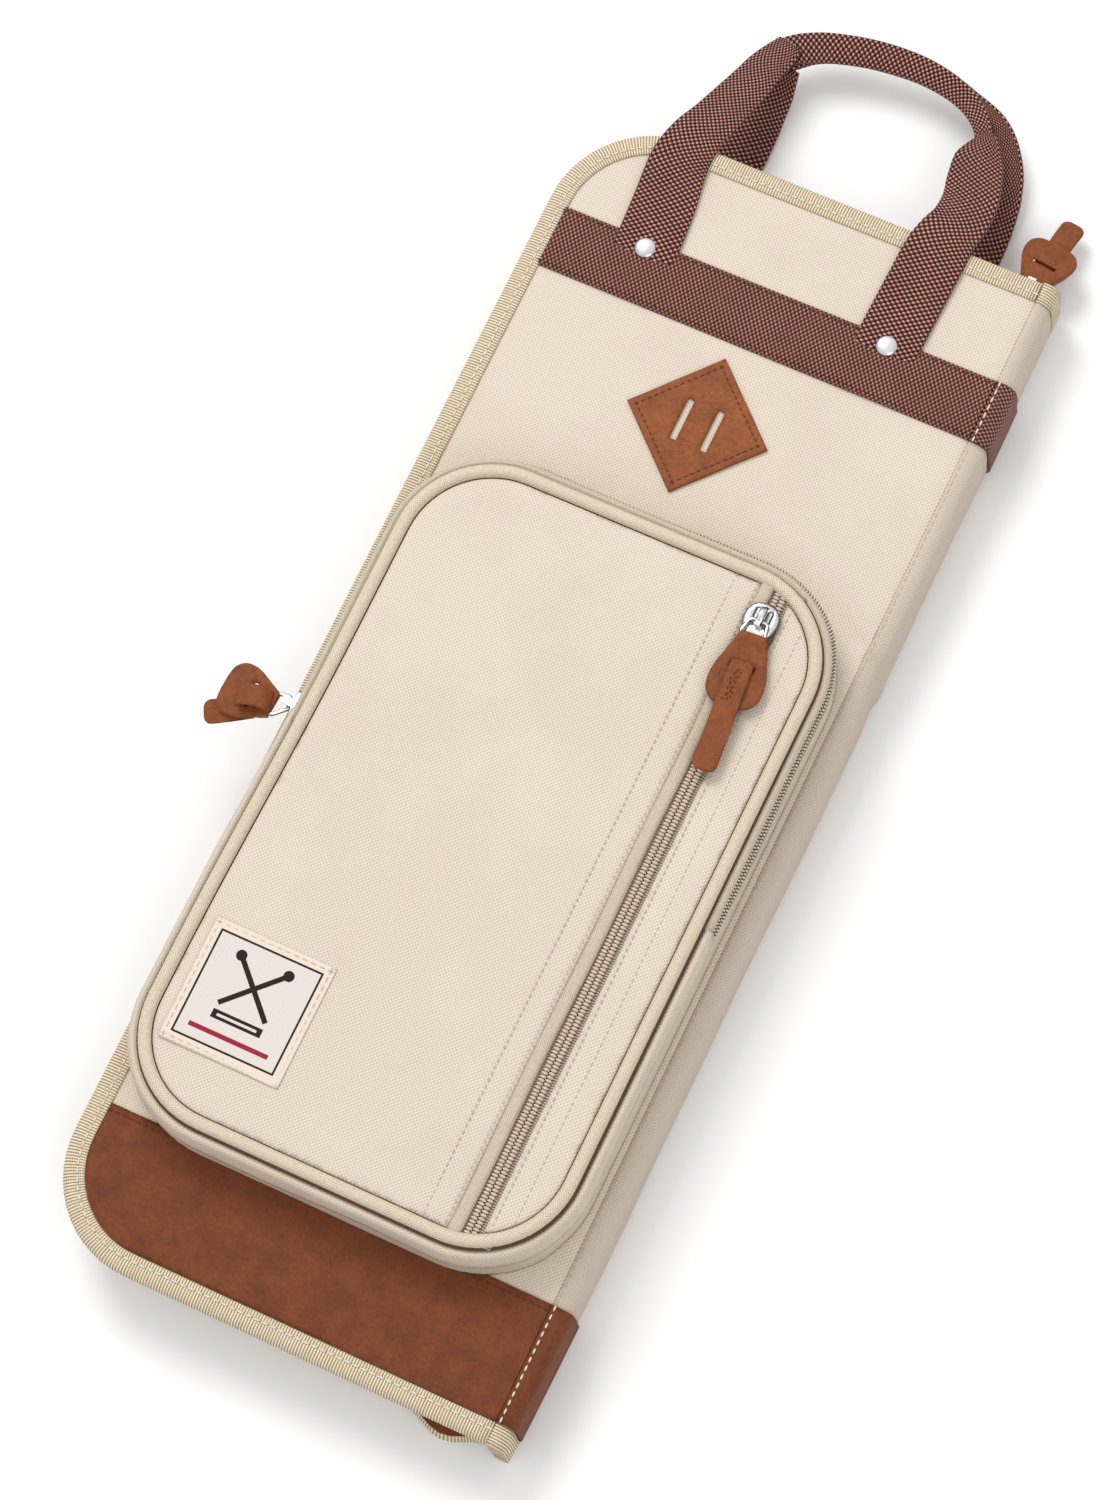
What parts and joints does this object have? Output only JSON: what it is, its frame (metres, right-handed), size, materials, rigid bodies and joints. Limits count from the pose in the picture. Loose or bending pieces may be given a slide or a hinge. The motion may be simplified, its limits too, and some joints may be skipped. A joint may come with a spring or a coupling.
{
  "type": "drum stick bag",
  "caption": "Folding canvas drum stick bag with a padded spine, a zipped bellows pocket, brown leather base and patch, brown webbing handles and leather zip pulls.",
  "frame": {"origin": "centre of the plane the closed bag rests on, at the back cover's leather base and webbing band", "axes": "+Z out of the front cover, +Y towards the handles, +X towards the spine"},
  "size_m": [0.2231, 0.548, 0.06],
  "materials": {
    "canvas": "woven cotton canvas",
    "foam": "closed-cell foam",
    "lining_cloth": "plain woven lining",
    "binding_tape": "ribbed binding tape",
    "piping_cloth": "canvas covered cord",
    "leather": "grained",
    "webbing": "basket woven",
    "zip_tape": "woven tape",
    "zip_coil": "satin coil",
    "metal": "polished",
    "label_cloth": "woven label"
  },
  "bodies": {
    "back_cover": {"back_shell": "canvas", "back_padding": "foam", "back_lining": "lining_cloth", "back_binding": "binding_tape", "back_base_leather": "leather", "back_band": "webbing", "back_handle_tabs": "webbing", "back_rivets": "metal", "back_rivet_washers": "metal", "main_zip_back_tape": "zip_tape", "main_zip_back_coil": "zip_coil", "stick_sleeve_tall": "lining_cloth", "stick_sleeve_short": "lining_cloth", "sleeve_dividers": "lining_cloth"},
    "spine": {"spine_shell": "canvas", "spine_padding": "foam", "spine_lining": "lining_cloth", "spine_end_binding": "binding_tape", "spine_base_leather": "leather", "spine_band": "webbing"},
    "front_cover": {"front_shell": "canvas", "front_padding": "foam", "front_lining": "lining_cloth", "front_binding": "binding_tape", "front_base_leather": "leather", "front_band": "webbing", "front_handle_tabs": "webbing", "front_rivets": "metal", "front_rivet_washers": "metal", "main_zip_front_tape": "zip_tape", "main_zip_front_coil": "zip_coil", "inner_slip_pocket": "lining_cloth", "pocket_gusset": "canvas", "pocket_zip_lower_tape": "zip_tape", "pocket_zip_lower_coil": "zip_coil", "pocket_lower_face": "canvas", "pocket_lower_backing": "lining_cloth", "pocket_lower_piping": "piping_cloth", "face_zip_lower_tape": "zip_tape", "face_zip_lower_coil": "zip_coil", "label_patch": "label_cloth", "lash_tab_patch": "leather"},
    "pocket_flap": {"pocket_flap_face": "canvas", "pocket_flap_backing": "lining_cloth", "pocket_flap_piping": "piping_cloth", "pocket_zip_upper_tape": "zip_tape", "pocket_zip_upper_coil": "zip_coil", "face_zip_upper_tape": "zip_tape", "face_zip_upper_coil": "zip_coil"},
    "face_slider": {"face_slider": "metal"},
    "face_pull": {"face_pull_ring": "metal", "face_pull_leather": "leather"},
    "main_slider": {"main_slider": "metal"},
    "main_pull": {"main_pull_ring": "metal", "main_pull_leather": "leather"},
    "pocket_slider": {"pocket_slider": "metal"},
    "pocket_pull": {"pocket_pull_ring": "metal", "pocket_pull_leather": "leather"},
    "front_handle": {"front_handle": "webbing"},
    "back_handle": {"back_handle": "webbing"}
  },
  "joints": [
    {"name": "spine_fold", "type": "hinge", "parent": "back_cover", "child": "spine", "pos_m": [0.0913, 0, 0], "axis": [0, 1, 0], "range_deg": [0, 30]},
    {"name": "cover_fold", "type": "hinge", "parent": "spine", "child": "front_cover", "pos_m": [0.0913, 0, 0.0315], "axis": [0, 1, 0], "range_deg": [0, 150]},
    {"name": "flap_fold", "type": "hinge", "parent": "front_cover", "child": "pocket_flap", "pos_m": [0, -0.035, 0.0551], "axis": [-1, 0, 0], "range_deg": [-100, 0]},
    {"name": "face_slider_run", "type": "slide", "parent": "pocket_flap", "child": "face_slider", "axis": [0, -1, 0], "range_m": [0, 0.23]},
    {"name": "face_pull_swing", "type": "hinge", "parent": "face_slider", "child": "face_pull", "pos_m": [0.0555, 0.068, 0.0574], "axis": [-1, 0, 0], "range_deg": [0, 165]},
    {"name": "front_handle_fold", "type": "hinge", "parent": "front_cover", "child": "front_handle", "pos_m": [0, 0.1973, 0.0322], "axis": [-1, 0, 0], "range_deg": [-160, 0]},
    {"name": "back_handle_fold", "type": "hinge", "parent": "back_cover", "child": "back_handle", "pos_m": [0, 0.1973, -0.0001], "axis": [1, 0, 0], "range_deg": [-160, 0]},
    {"name": "main_slider_run", "type": "slide", "parent": "back_cover", "child": "main_slider", "axis": [1, 0, 0], "range_m": [-0.135, 0]},
    {"name": "main_pull_swing", "type": "hinge", "parent": "main_slider", "child": "main_pull", "pos_m": [0.0845, 0.2427, 0.01605], "axis": [0, 0, 1], "range_deg": [-40, 50]},
    {"name": "pocket_slider_run", "type": "slide", "parent": "front_cover", "child": "pocket_slider", "axis": [0, 1, 0], "range_m": [0, 0.082]},
    {"name": "pocket_pull_swing", "type": "hinge", "parent": "pocket_slider", "child": "pocket_pull", "pos_m": [-0.0921, -0.027, 0.0454], "axis": [0, 0, 1], "range_deg": [-70, 23]}
  ]
}
